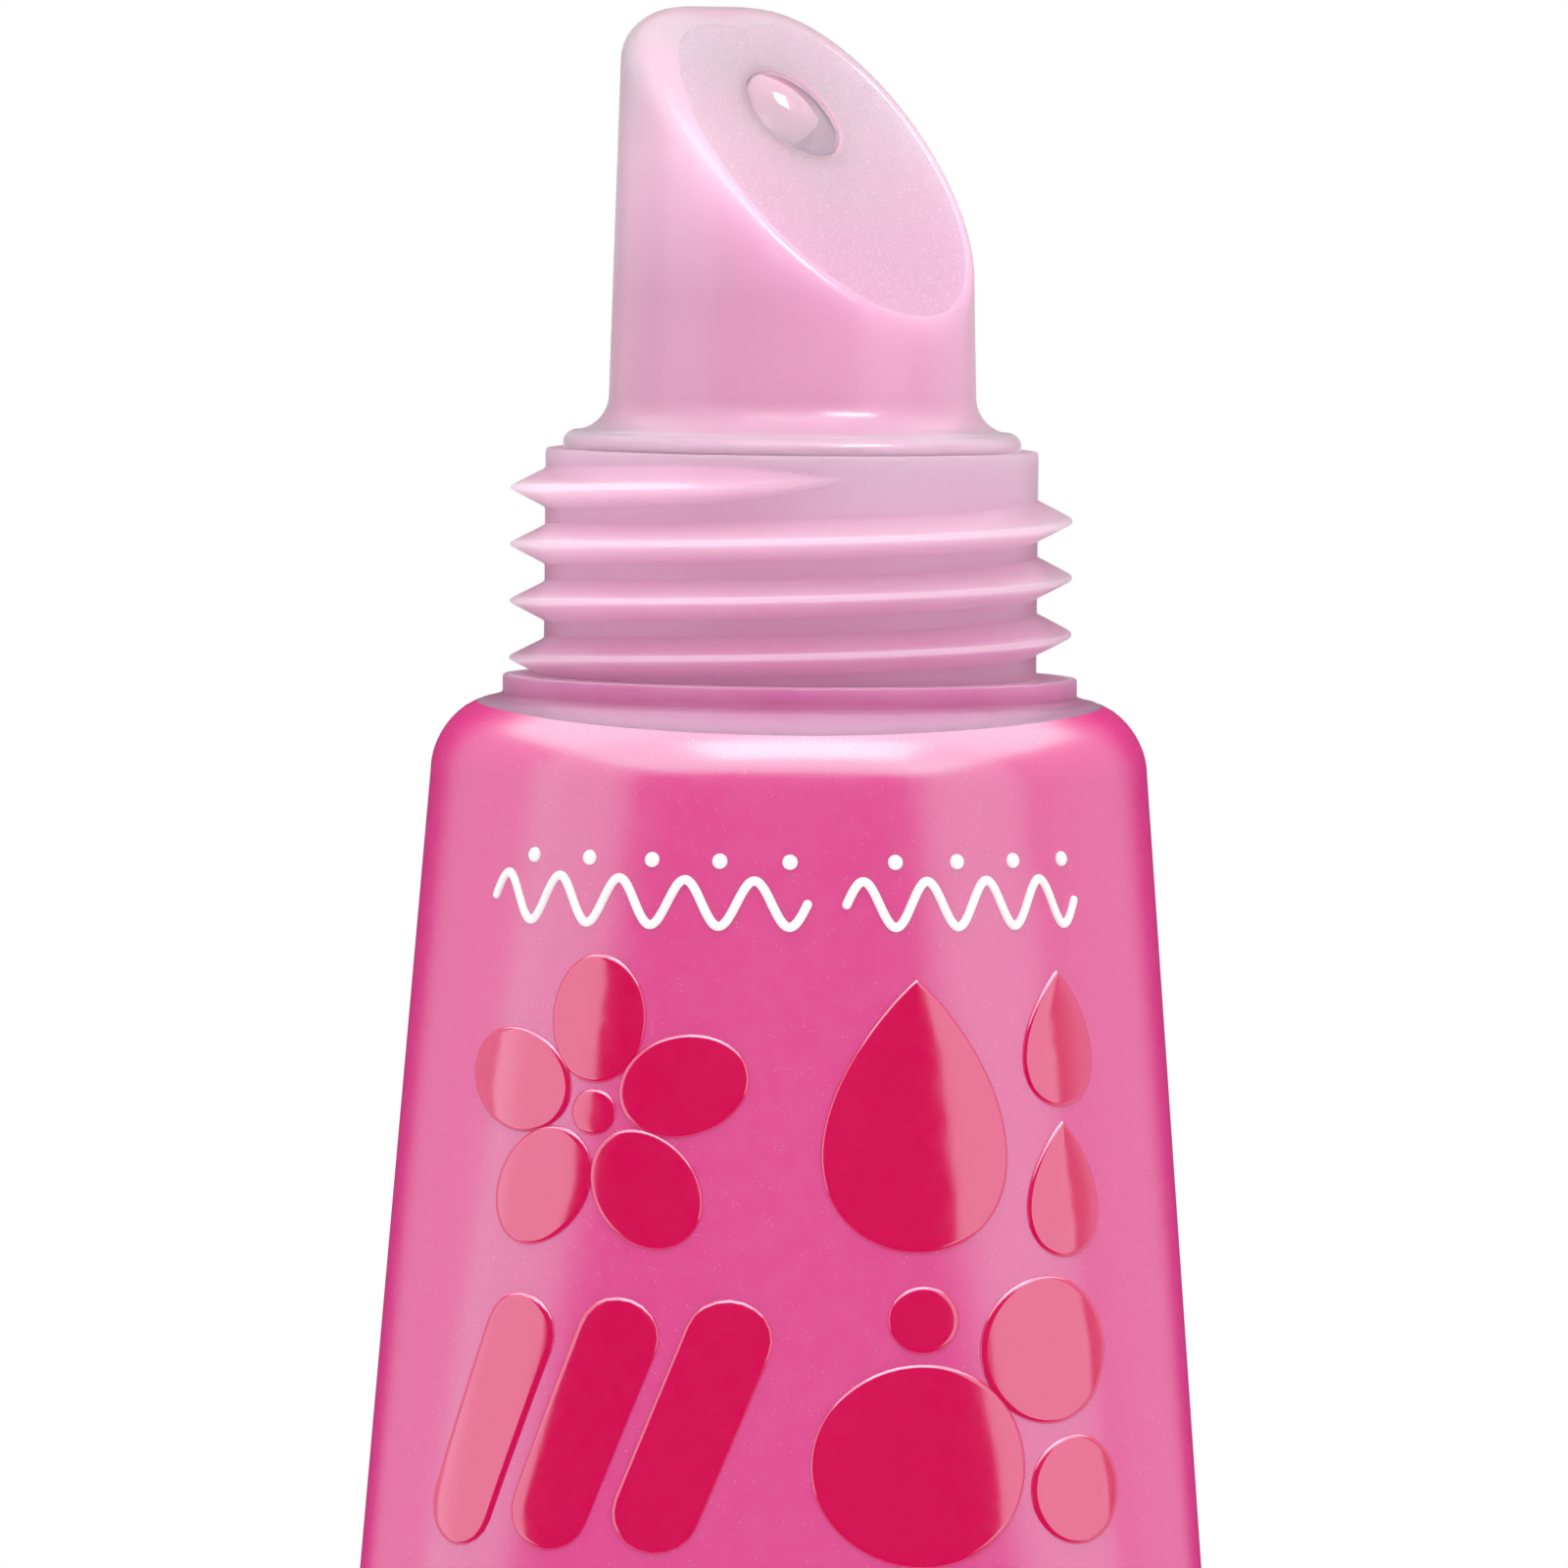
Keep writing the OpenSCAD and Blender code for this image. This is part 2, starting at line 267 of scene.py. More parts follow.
def sleeve_section(z):
    """Half width, half depth and squareness of the sleeve at heights z."""
    edge = rolled(EDGE_R, SLEEVE_R, np.clip(-z / EDGE_H, 0, 1))
    share = flattened(z)
    half_width = edge + (SEAL_HALF - SLEEVE_R) * share
    half_depth = edge + (SLEEVE_WALL - SLEEVE_R) * (1 - (1 - share) ** BULGE)
    return half_width, half_depth, 2 + (SEAL_POWER - 2) * share ** 3


def sleeve_ring(z, inset, angles):
    """A ring of the sleeve, a distance in from its outside; z is a number or one height per point."""
    z = z + 0 * angles
    a, b, power = sleeve_section(z)
    across = np.cos(angles)
    depth = (1 - np.abs(across) ** power) ** (1 / power)
    # Soft waves where the round body is pressed flat towards the seal
    share = flattened(z)
    wave = 0.12 * share ** 3 * (1 - share) * 4 * np.cos(across * 9)
    y = ((b - inset) * depth + wave * depth) * np.sign(np.sin(angles))
    return np.stack([(a - inset) * across, y, z], 1)


def on_sleeve(s, z, height):
    """Points a distance s round the front from its middle, at heights z, raised off the sleeve."""

    def surface(s, z):
        a, b, power = sleeve_section(z)
        share = flattened(z) ** 2
        turn = s / SLEEVE_R
        across = mix(np.sin(turn), turn / (math.pi / 2), share)
        return np.stack([a * across, -b * (1 - np.abs(across) ** power) ** (1 / power), z], -1)

    step = 0.01
    along = surface(s + step, z) - surface(s - step, z)
    upward = surface(s, z + step) - surface(s, z - step)
    normal = np.cross(along, upward)
    normal /= np.linalg.norm(normal, axis=-1, keepdims=True)
    return surface(s, z) + normal * np.asarray(height)[..., None]


# ---------- materials ----------


class Material:
    """A node material, with its Principled shader and short ways to add and join nodes."""

    def __init__(self, name, **values):
        self.material = bpy.data.materials.new(name)
        self.material.use_nodes = True
        self.nodes = self.material.node_tree.nodes
        self.links = self.material.node_tree.links
        self.shader = self.nodes["Principled BSDF"]
        self.place = self.add("ShaderNodeTexCoord").outputs["Object"]
        for socket, value in values.items():
            self.shader.inputs[socket.replace("_", " ")].default_value = value

    def add(self, kind, **inputs):
        """A node, with its inputs set to values or joined to other nodes' outputs."""
        node = self.nodes.new(kind)
        for socket, value in inputs.items():
            self.put(node.inputs[socket.replace("_", " ")], value)
        return node

    def put(self, socket, value):
        if isinstance(value, bpy.types.NodeSocket):
            self.links.new(value, socket)
        else:
            socket.default_value = value

    def noise(self, size_mm, detail=2.0, stretch=(1, 1, 1)):
        """Noise from 0 to 1 whose features are about size_mm across, stretched along the axes."""
        scaled = self.add("ShaderNodeMapping", Vector=self.place, Scale=[1 / s for s in stretch])
        return self.add("ShaderNodeTexNoise", Vector=scaled.outputs[0], Scale=1 / (size_mm * MM),
                        Detail=detail).outputs["Fac"]

    def ramp(self, value, stops):
        """Colours or levels along a value; stops are (place, colour) or (place, level)."""
        node = self.add("ShaderNodeValToRGB", Fac=value)
        marks = node.color_ramp.elements
        while len(marks) < len(stops):
            marks.new(0.5)
        for mark, (place, colour) in zip(marks, stops):
            mark.position = place
            mark.color = colour if isinstance(colour, tuple) else (colour, colour, colour, 1)
        return node.outputs["Color"]

    def height_share(self, low_mm, high_mm, edge_z):
        """0 to 1 between two heights of the tube's own frame."""
        z = self.add("ShaderNodeSeparateXYZ", Vector=self.place).outputs["Z"]
        node = self.add("ShaderNodeMapRange", Value=z)
        node.inputs["From Min"].default_value = (edge_z - low_mm) * MM
        node.inputs["From Max"].default_value = (edge_z - high_mm) * MM
        return node.outputs["Result"]

    def blend(self, share, first, second):
        """A mix of two colours."""
        node = self.nodes.new("ShaderNodeMix")
        node.data_type = "RGBA"
        for socket, value in ((node.inputs[0], share), (node.inputs[6], first), (node.inputs[7], second)):
            self.put(socket, value)
        return node.outputs[2]

    def bump(self, height, depth_mm, strength=1.0):
        node = self.add("ShaderNodeBump", Height=height, Distance=depth_mm * MM, Strength=strength)
        self.put(self.shader.inputs["Normal"], node.outputs["Normal"])

    def colour(self, value):
        self.put(self.shader.inputs["Base Color"], value)

    def roughness(self, value):
        self.put(self.shader.inputs["Roughness"], value)


def srgb(red, green, blue):
    """A linear colour from 0 to 255 screen levels."""
    levels = (red, green, blue)
    return tuple(((c / 255 + 0.055) / 1.055) ** 2.4 if c > 10 else c / 3295 for c in levels) + (1,)


def pearl_material():
    """Pearly pink sleeve: a fine sparkle painted as pale flecks, faint streaks along the tube and a soft
    gloss.
    """
    m = Material("pearl_sleeve", IOR=2.2, Specular_IOR_Level=1.0, Specular_Tint=(0.25, 1, 0.9, 1))
    cloud = m.noise(3.5, 3.0, (1, 1, 5))
    body = m.blend(cloud, srgb(243, 54, 147), srgb(246, 60, 151))
    # Painted sparkle: some flecks lighten the base colour towards pale pink.
    flakes = m.add("ShaderNodeTexVoronoi", Vector=m.place, Scale=1 / (0.11 * MM))
    bright = m.ramp(flakes.outputs["Distance"], [(0.0, 1.0), (0.2, 0.0)])
    lit = m.ramp(flakes.outputs["Color"], [(0.52, 0.0), (0.75, 0.6)])
    share = m.add("ShaderNodeMath", Value=bright)
    share.operation = "MULTIPLY"
    m.put(share.inputs[1], lit)
    m.colour(m.blend(share.outputs[0], body, srgb(250, 205, 226)))
    m.roughness(m.ramp(m.noise(0.5), [(0.3, 0.23), (0.7, 0.27)]))
    m.bump(m.noise(0.35, 3.0), 0.002, 0.3)
    return m.material


def soft_plastic(name, specular, depth_mm, sheen):
    """Natural polyethylene that light goes deep into, with the gloss's pink showing through."""
    return Material(name, IOR=1.51, Specular_IOR_Level=specular, Subsurface_Weight=1.0,
                    Subsurface_Scale=depth_mm * MM, Subsurface_Radius=(0.9, 0.8, 0.85),
                    Sheen_Weight=sheen, Sheen_Roughness=0.4)


def neck_material():
    """Pinkest on the collar, partly from the gloss showing through and partly painted shade. The threads'
    roots are painted paler to lift their shade, and their crests carry a painted highlight.
    """
    m = soft_plastic("clear_neck", 0.5, 8, 0.2)
    # Along the height the collar is painted deeper pink, partly the gloss showing through and partly painted
    # shade, and the foot under the sleeve's edge is painted lighter to lift its shade.
    up = m.height_share(-0.4, LAND_Z, EDGE_Z)
    body = m.ramp(up, [(0.0, srgb(222, 148, 186)), (0.056, srgb(214, 134, 175)),
                       (0.075, srgb(192, 98, 148)), (0.145, srgb(190, 96, 146)),
                       (0.16, srgb(230, 156, 192)), (0.28, srgb(203, 124, 164)),
                       (0.41, srgb(206, 138, 172)), (0.55, srgb(209, 150, 178)),
                       (0.8, srgb(214, 158, 184)), (1.0, srgb(198, 130, 163))])
    flat = m.add("ShaderNodeVectorMath", Vector=m.place)
    flat.operation = "MULTIPLY"
    flat.inputs[1].default_value = (1, 1, 0)
    length = m.add("ShaderNodeVectorMath", Vector=flat.outputs[0])
    length.operation = "LENGTH"
    out = m.add("ShaderNodeMapRange", Value=length.outputs["Value"])
    out.inputs["From Min"].default_value = NECK_R * MM
    out.inputs["From Max"].default_value = COLLAR_R * MM
    # Painted light: paler near the roots to lift their shade, and a pale band on the crests as a painted
    # highlight.
    pale = m.ramp(out.outputs["Result"], [(0.0, 0.5), (0.3, 0.2), (0.6, 0.0), (0.75, 0.0), (0.81, 0.6),
                                          (0.87, 0.6), (0.91, 0.0)])
    body = m.blend(pale, body, srgb(246, 190, 220))
    m.colour(m.blend(m.ramp(m.noise(2.2, 3.0), [(0.35, 0.0), (0.8, 0.15)]), body, srgb(222, 180, 202)))
    m.roughness(m.ramp(m.noise(0.6), [(0.3, 0.29), (0.7, 0.36)]))
    m.bump(m.noise(0.25, 3.0), 0.003, 0.4)
    return m.material


def tip_colour(m, stops):
    """Milky pink along the tip's height, with faint clouds; stops are (share of height, colour)."""
    body = m.ramp(m.height_share(LAND_Z, FACE_Z + 3.0, EDGE_Z), stops)
    return m.blend(m.ramp(m.noise(2.5, 2.0), [(0.35, 0.0), (0.8, 0.15)]), body, srgb(208, 146, 179))


def tip_material():
    """Satin sides of the tip, painted greyer towards the top: painted shade that tones down the light from
    above.
    """
    m = soft_plastic("satin_tip", 0.9, 5, 0.6)
    # Stops from the foot up; the grey top stops are painted shade.
    m.colour(tip_colour(m, [(0.0, srgb(238, 168, 200)), (0.06, srgb(228, 164, 194)),
                            (0.12, srgb(208, 149, 179)), (0.34, srgb(202, 149, 178)),
                            (0.56, srgb(214, 171, 196)), (0.66, srgb(212, 178, 197)),
                            (0.78, srgb(196, 174, 188)), (0.95, srgb(164, 177, 177))]))
    m.roughness(m.ramp(m.noise(0.4), [(0.3, 0.2), (0.7, 0.25)]))
    m.bump(m.noise(0.12, 3.0), 0.004, 0.3)
    return m.material


def face_material():
    """The slanted face has a fine spark-eroded grain, whose glints are painted as pale specks."""
    m = soft_plastic("grained_face", 0.5, 5, 0.25)
    grain = m.noise(0.07, 4.0)
    # Painted glints: specks of the grain lighten the base colour.
    specks = m.ramp(grain, [(0.56, 0.0), (0.7, 0.45)])
    # The face is painted greyer towards the top: painted shade against the light from above.
    body = tip_colour(m, [(0.3, srgb(190, 146, 172)), (0.46, srgb(189, 153, 176)),
                          (0.68, srgb(186, 171, 182)), (0.9, srgb(174, 178, 182))])
    m.colour(m.blend(specks, body, srgb(226, 208, 219)))
    m.roughness(m.ramp(grain, [(0.3, 0.5), (0.7, 0.36)]))
    m.bump(grain, 0.02, 0.7)
    return m.material


def gloss_material(name, deep, pale):
    """Wet gel with faint clouds."""
    m = Material(name, IOR=1.46, Subsurface_Weight=0.5, Subsurface_Scale=0.001, Coat_Weight=0.6,
                 Coat_Roughness=0.03, Transmission_Weight=0.3)
    m.colour(m.blend(m.noise(1.2, 2.0), deep, pale))
    m.roughness(m.ramp(m.noise(0.8), [(0.3, 0.04), (0.7, 0.09)]))
    return m.material


def print_material():
    """Glossy magenta ink."""
    m = Material("magenta_print", IOR=2.5, Specular_IOR_Level=1.0, Specular_Tint=(0.7, 0.8, 1, 1))
    m.colour(m.blend(m.noise(0.8, 3.0), srgb(236, 0, 88), srgb(239, 0, 94)))
    m.roughness(m.ramp(m.noise(0.4), [(0.3, 0.1), (0.7, 0.13)]))
    m.bump(m.noise(0.12, 2.0), 0.002, 0.2)
    return m.material


def white_ink_material():
    """Thick white ink."""
    m = Material("white_print", Coat_Weight=0.2, Coat_Roughness=0.15)
    m.colour(m.blend(m.noise(0.5, 3.0), srgb(232, 228, 229), srgb(243, 240, 240)))
    m.roughness(m.ramp(m.noise(0.2), [(0.3, 0.38), (0.7, 0.5)]))
    m.bump(m.noise(0.06, 3.0), 0.004, 0.5)
    return m.material


def cap_material():
    """Polished magenta plastic with a few faint wipe marks."""
    m = Material("cap_gloss", IOR=1.5, Coat_Weight=0.6, Coat_Roughness=0.03)
    m.colour(m.blend(m.noise(6.0, 2.0), srgb(184, 4, 72), srgb(192, 10, 82)))
    marks = m.noise(0.5, 4.0, (1, 1, 8))
    m.roughness(m.ramp(marks, [(0.45, 0.12), (0.75, 0.24)]))
    m.bump(m.noise(0.9, 2.0), 0.003, 0.2)
    return m.material


def core_material():
    """Satin pink moulded plastic with flow marks."""
    m = Material("cap_inner", IOR=1.5, Subsurface_Weight=0.2, Subsurface_Scale=0.0008)
    m.colour(m.blend(m.noise(1.5, 3.0, (1, 1, 3)), srgb(226, 122, 172), srgb(236, 150, 190)))
    m.roughness(m.ramp(m.noise(0.4), [(0.3, 0.38), (0.7, 0.5)]))
    m.bump(m.noise(0.15, 3.0), 0.004, 0.4)
    return m.material


def liner_material():
    """White expanded foam with open cells."""
    m = Material("liner_foam")
    cells = m.add("ShaderNodeTexVoronoi", Vector=m.place, Scale=1 / (0.18 * MM)).outputs["Distance"]
    # Painted shade: each open cell is darker at its middle, where the bump sinks it into a pit.
    m.colour(m.ramp(cells, [(0.0, srgb(214, 208, 206)), (0.5, srgb(243, 241, 238))]))
    m.roughness(m.ramp(cells, [(0.0, 0.95), (0.6, 0.75)]))
    m.bump(cells, 0.03, 0.6)
    return m.material


# ---------- the sleeve ----------


def make_sleeve():
    columns = 256
    angles = (np.arange(columns) + 0.5) * 2 * math.pi / columns
    lip_z = lip_height(angles)
    edge_rows = [mix(lip_z, -EDGE_H, share) for share in np.linspace(0, 1, 13)]
    body_rows = list(np.linspace(-EDGE_H, -BODY_H, 71)[1:])
    outer = [sleeve_ring(z, 0, angles) for z in edge_rows + body_rows]
    # The seal: ribs pressed across both walls, with its edges rounded
    for depth in np.linspace(0.06, SEAL_H, 72)[:-1]:
        wave = 0.5 + 0.5 * math.cos(depth * 2 * math.pi / RIB_PITCH)
        rib = RIB_DEPTH * wave if depth < SEAL_H - 0.5 else 0
        outer.append(sleeve_ring(-BODY_H, rib, angles) - [0, 0, depth])
    outer += [sleeve_ring(-BODY_H, inset, angles) - [0, 0, SEAL_H - up]
              for inset, up in ((0.02, 0.06), (0.08, 0.015), (0.16, 0))]
    end = outer[-1].copy()
    end[:, 1] = 0
    inner_rows = [mix(lip_z, -EDGE_H, share) for share in np.linspace(0.01, 1, 8)]
    inner_rows += list(np.linspace(-EDGE_H, -BODY_H * 0.97, 24)[1:])
    inner = [sleeve_ring(z, mix(SLEEVE_WALL * 0.5, SLEEVE_WALL, min(1, k / 4)), angles)
             for k, z in enumerate(inner_rows)]
    pinched = inner[-1].copy()
    pinched[:, 1] = 0
    shape = Shape().rings([pinched] + inner[::-1] + outer + [end])
    return add_piece("sleeve_tube", shape.mesh(), "tube", [pearl_material()], ["sleeve"])


def make_gloss_fill():
    angles = turns_of(128)
    top_r = SKIRT_R - SKIRT_WALL - WET_GAP
    heights = np.linspace(SKIRT_Z - WET_GAP, -BODY_H * 0.88, 24)
    rows = [ring(0 * angles, PLATE_Z - WET_GAP, angles), ring(top_r - 0.2, PLATE_Z - WET_GAP, angles),
            ring(top_r, PLATE_Z - 0.26, angles), ring(top_r, SKIRT_Z - 0.05, angles)]
    rows += [sleeve_ring(z, SLEEVE_WALL + WET_GAP, angles) for z in heights]
    last = rows[-1].copy()
    last[:, 1] = 0
    skin = gloss_material("gloss", srgb(206, 60, 122), srgb(222, 92, 146))
    return add_piece("gloss_in_sleeve", Shape().rings(rows + [last]).mesh(), "tube", [skin],
                     ["gloss_fill"])


# ---------- threads, the head ----------


def zip_loops(bm, first, second):
    """Faces between two loops of points that go round the axis, whatever their numbers."""

    def angle(vert):
        return math.atan2(vert.co.y, vert.co.x) % (2 * math.pi)

    first, second = sorted(first, key=angle), sorted(second, key=angle)
    i = j = 0
    while i < len(first) or j < len(second):
        a, b = first[i % len(first)], second[j % len(second)]
        next_a, next_b = first[(i + 1) % len(first)], second[(j + 1) % len(second)]
        turn_a = angle(next_a) + (2 * math.pi if i + 1 >= len(first) else 0)
        turn_b = angle(next_b) + (2 * math.pi if j + 1 >= len(second) else 0)
        if j >= len(second) or (i < len(first) and turn_a <= turn_b):
            bm.faces.new((a, next_a, b))
            i += 1
        else:
            bm.faces.new((a, next_b, b))
            j += 1


def loop_at(bm, z, r=None):
    """The open edge points of a mesh at a height, and at a radius where one is given."""
    return [v for v in bm.verts if v.is_boundary and abs(v.co.z - z) < 1e-4
            and (r is None or abs(v.co.xy.length - r) < 1e-3)]


def threaded_wall(wall_r, crest, start_z, turns, low_z, high_z, phase=0.0, fade=0.12):
    """A round wall with a helical ridge, cut off level at both ends. A negative crest points inward."""
    across = np.concatenate([np.linspace(-0.5, -0.36, 5)[:-1], np.linspace(-0.36, -0.06, FLANK_ROWS),
                             np.linspace(-0.05, 0.05, 7), np.linspace(0.06, 0.36, FLANK_ROWS),
                             np.linspace(0.36, 0.5, 5)[1:-1]])
    first = math.floor((low_z - start_z) / PITCH) - 1
    last = math.ceil((high_z - start_z) / PITCH) + 1
    slope = abs(crest) / (ROOT_HALF - CREST_HALF)
    rows = []
    steps = np.arange(COLUMNS) / COLUMNS
    angle = 2 * math.pi * steps + phase
    for turn in range(first, last):
        for q in across:
            share = np.clip(np.minimum(turn + steps, turns - turn - steps) / fade, 0, 1)
            share = share * (2 - share)
            height = (ROOT_HALF - abs(q) * PITCH) * slope
            level = 0.5 * (height + abs(crest) - math.sqrt((height - abs(crest)) ** 2 + CREST_SOFT ** 2))
            rise = np.maximum(0, level - (1 - share) * abs(crest))
            r = wall_r + math.copysign(1, crest) * rise
            z = start_z + PITCH * (turn + q + steps)
            rows.append(np.stack([r * np.cos(angle), r * np.sin(angle), z], 1))
    bm = bmesh.new()
    verts = [[bm.verts.new(p) for p in row] for row in rows]
    for k in range(len(rows) - 1):
        for i in range(COLUMNS):
            # Past the last column a row goes on as the row one pitch higher
            wrap = len(across) if i == COLUMNS - 1 else 0
            if k + 1 + wrap < len(rows):
                j = (i + 1) % COLUMNS
                bm.faces.new((verts[k][i], verts[k + wrap][j], verts[k + 1 + wrap][j], verts[k + 1][i]))
    for level, side in ((low_z, -1), (high_z, 1)):
        bmesh.ops.bisect_plane(bm, geom=bm.verts[:] + bm.edges[:] + bm.faces[:], dist=1e-6,
                               plane_co=(0, 0, level), plane_no=(0, 0, side), clear_outer=True)
    return bm


def join(bm, other):
    """Adds another bmesh to the first, and frees it."""
    mesh = bpy.data.meshes.new("part")
    other.to_mesh(mesh)
    other.free()
    bm.from_mesh(mesh)
    bpy.data.meshes.remove(mesh)


def make_head():
    angles = turns_of(COLUMNS)
    lip_z = lip_height(angles)
    wall_top = LAND_Z - 0.12

    def dome(z, inset=0):
        """A ring on the shoulder, which goes on under the sleeve's rolled edge."""
        return ring(rolled(EDGE_R, SLEEVE_R, -z / EDGE_H) - inset, z, angles)

    ledge_r = COLLAR_R - 0.12
    collar = rounded([(ledge_r, COLLAR_TOP, 0), (COLLAR_R, COLLAR_TOP, 0.07),
                      (COLLAR_R, COLLAR_Z, 0.09), (EDGE_R - 0.1, 0.04, 0.05)], 5)
    rows = [ring(r, z, angles) for r, z in collar]
    rows += [dome(mix(0, lip_z, share)) for share in (0.02, 0.2, 0.4, 0.6, 0.8, 0.97)]
    rows += [dome(lip_z - depth, inset) for depth, inset in ((0.02, 0.03), (0.1, 0.12), (0.25, 0.3))]
    inside_r = SKIRT_R - SKIRT_WALL
    inside = rounded([(SKIRT_R, -EDGE_H, 0.3), (SKIRT_R, SKIRT_Z, 0.12), (inside_r, SKIRT_Z, 0.1),
                      (inside_r, PLATE_Z, 0.3), (BORE_R, PLATE_Z, 0.1), (BORE_R, LAND_Z, 0.15),
                      (NECK_R - 0.1, LAND_Z, 0), (NECK_R - 0.03, LAND_Z - 0.02, 0),
                      (NECK_R, LAND_Z - 0.1, 0)])
    rows += [ring(r, z, angles) for r, z in inside]
    bm = Shape().rings(rows).mesh()
    join(bm, threaded_wall(NECK_R, CREST_R - NECK_R, THREAD_Z, THREAD_TURNS, COLLAR_TOP, wall_top))
    root = [v for v in loop_at(bm, COLLAR_TOP) if v.co.xy.length < ledge_r - 0.01]
    zip_loops(bm, loop_at(bm, COLLAR_TOP, ledge_r), root)
    zip_loops(bm, loop_at(bm, LAND_Z - 0.1), loop_at(bm, wall_top))
    return add_piece("neck_and_shoulder", bm, "tube", [neck_material()], ["threaded_head"])


# ---------- the applicator tip ----------


def face_ring(radius, depth, angles):
    """A circle in the face, a depth below it, whose points lie in the upright sections at angles."""
    beta = np.arctan2(np.sin(angles) * math.cos(FACE_SLOPE), np.cos(angles))
    circle = radius * (np.outer(np.cos(beta), FACE_DOWN) + np.outer(np.sin(beta), (0, 1, 0)))
    return circle + [0, 0, FACE_Z] - FACE_OUT * depth


def turned_to_face(rows):
    """Turns rings about the axis so that the face looks its own way."""
    c, s = math.cos(FACE_TURN), math.sin(FACE_TURN)
    return [r @ np.array([[c, s, 0], [-s, c, 0], [0, 0, 1]]) for r in rows]


def rim_rings(angles, steps=14):
    """Rings of the rounded rim, in upright sections, from the drafted side to the face."""
    cos = np.cos(angles)
    side = math.atan(TIP_LEAN)
    face = math.pi / 2 - np.arctan(math.tan(FACE_SLOPE) * cos)
    radius = ((RIM_HIGH + RIM_LOW + 2 * RIM_SIDE) / 4 + cos * (RIM_LOW - RIM_HIGH) / 2
              + np.cos(2 * angles) * (RIM_HIGH + RIM_LOW - 2 * RIM_SIDE) / 4)
    side_in = (TIP_R + TIP_LEAN * TIP_Z) * math.cos(side) - radius
    face_in = FACE_Z * np.sin(face) - radius
    det = np.sin(face - side)
    mid_r = (side_in * np.sin(face) - face_in * math.sin(side)) / det
    mid_z = (face_in * math.cos(side) - side_in * np.cos(face)) / det
    return [ring(mid_r + radius * np.cos(a), mid_z + radius * np.sin(a), angles)
            for a in (mix(side, face, share) for share in np.linspace(0, 1, steps + 1))]


def make_tip():
    angles = turns_of(240)
    plug_r = BORE_R - 0.02
    foot = rounded([(WELL_R + 0.3, PLUG_Z, 0), (plug_r, PLUG_Z, 0.3), (plug_r, LAND_Z - 0.1, 0),
                    (plug_r + 0.1, LAND_Z + 0.01, 0), (FLANGE_R, LAND_Z + 0.01, 0.04)])
    foot += arc(FLANGE_R - 0.32, LAND_Z + FLANGE_H - 0.32, 0.32, 0, 90)
    foot += arc(TIP_R + FILLET_R, TIP_Z, FILLET_R, 270, 180, 12)
    rim = rim_rings(angles)
    wall = [mix(ring(TIP_R, TIP_Z, angles), rim[0], share) for share in np.linspace(0, 1, 14)[1:-1]]
    edge = face_ring(ORIFICE_R + 0.07, 0, angles)
    inward = (edge - rim[-1]) / np.linalg.norm(edge - rim[-1], axis=1, keepdims=True)
    step = FACE_OUT * FACE_STEP
    face = [rim[-1] + inward * 0.02, rim[-1] + inward * 0.06 - step]
    face += [mix(rim[-1] + inward * 0.1, edge, share) - step for share in np.linspace(0, 1, 16)]
    lip = [face_ring(ORIFICE_R + 0.02, FACE_STEP + 0.02, angles),
           face_ring(ORIFICE_R, FACE_STEP + 0.07, angles), face_ring(ORIFICE_R, ORIFICE_H, angles)]
    floor_z = FACE_Z - ORIFICE_H / math.cos(FACE_SLOPE) - math.tan(FACE_SLOPE) * CHANNEL_R * np.cos(angles)
    bore = rounded([(CHANNEL_R, WELL_TOP + 0.6, 0.2), (WELL_R, WELL_TOP - 1.2, 0.3),
                    (WELL_R, PLUG_Z + 0.8, 0)])
    well = [ring(CHANNEL_R, floor_z, angles)] + [ring(r, z, angles) for r, z in bore]
    start = [ring(r, z, angles) for r, z in foot]
    rows = start + wall + rim + face + lip + well
    first_grain = len(start) + len(wall) + len(rim) + 1
    skins = [1 if first_grain <= k < first_grain + len(face) - 2 else 0 for k in range(len(rows))]
    shape = Shape().rings(turned_to_face(rows), True, skins)
    return add_piece("applicator", shape.mesh(), "tube", [tip_material(), face_material()],
                     ["applicator_tip"], crease=28)


def make_tip_gloss():
    """The column of gloss in the neck and tip, which ends in a wet bead in the orifice."""
    angles = turns_of(144)
    bore_r, well_r = BORE_R - WET_GAP, WELL_R - WET_GAP
    column = rounded([(0, PLATE_Z + 0.02, 0), (bore_r, PLATE_Z + 0.02, 0.2),
                      (bore_r, PLUG_Z - WET_GAP, 0.2), (well_r, PLUG_Z - WET_GAP, 0.1),
                      (well_r, WELL_TOP - 1.25, 0.3), (CHANNEL_R - 0.02, WELL_TOP + 0.5, 0.2),
                      (CHANNEL_R - 0.02, FACE_Z - 3.1, 0)])
    rows = [ring(radius, z, angles) for radius, z in column]
    bead_r = ORIFICE_R - 0.03
    bead_foot = ((CHANNEL_R * 0.7, ORIFICE_H - 0.06), (bead_r - 0.1, ORIFICE_H - 0.05),
                 (bead_r, ORIFICE_H - 0.15), (bead_r, 0.14))
    rows += [face_ring(radius, depth, angles) for radius, depth in bead_foot]
    rows += [face_ring(bead_r * share, mix(-0.2, 0.12, share ** 2.4), angles)
             for share in np.linspace(0.98, 0, 14)]
    first_bead = len(column) + 3
    skins = [1 if k >= first_bead else 0 for k in range(len(rows) - 1)]
    shape = Shape().rings(turned_to_face(rows), skin=skins)
    deep = gloss_material("gloss_core", srgb(214, 84, 142), srgb(224, 110, 160))
    bead = gloss_material("gloss_bead", srgb(194, 180, 192), srgb(203, 192, 201))
    return add_piece("gloss_in_tip", shape.mesh(), "tube", [deep, bead], ["tip_gloss"])


# ---------- the print: plain flowers, drops, bubbles and pills ----------


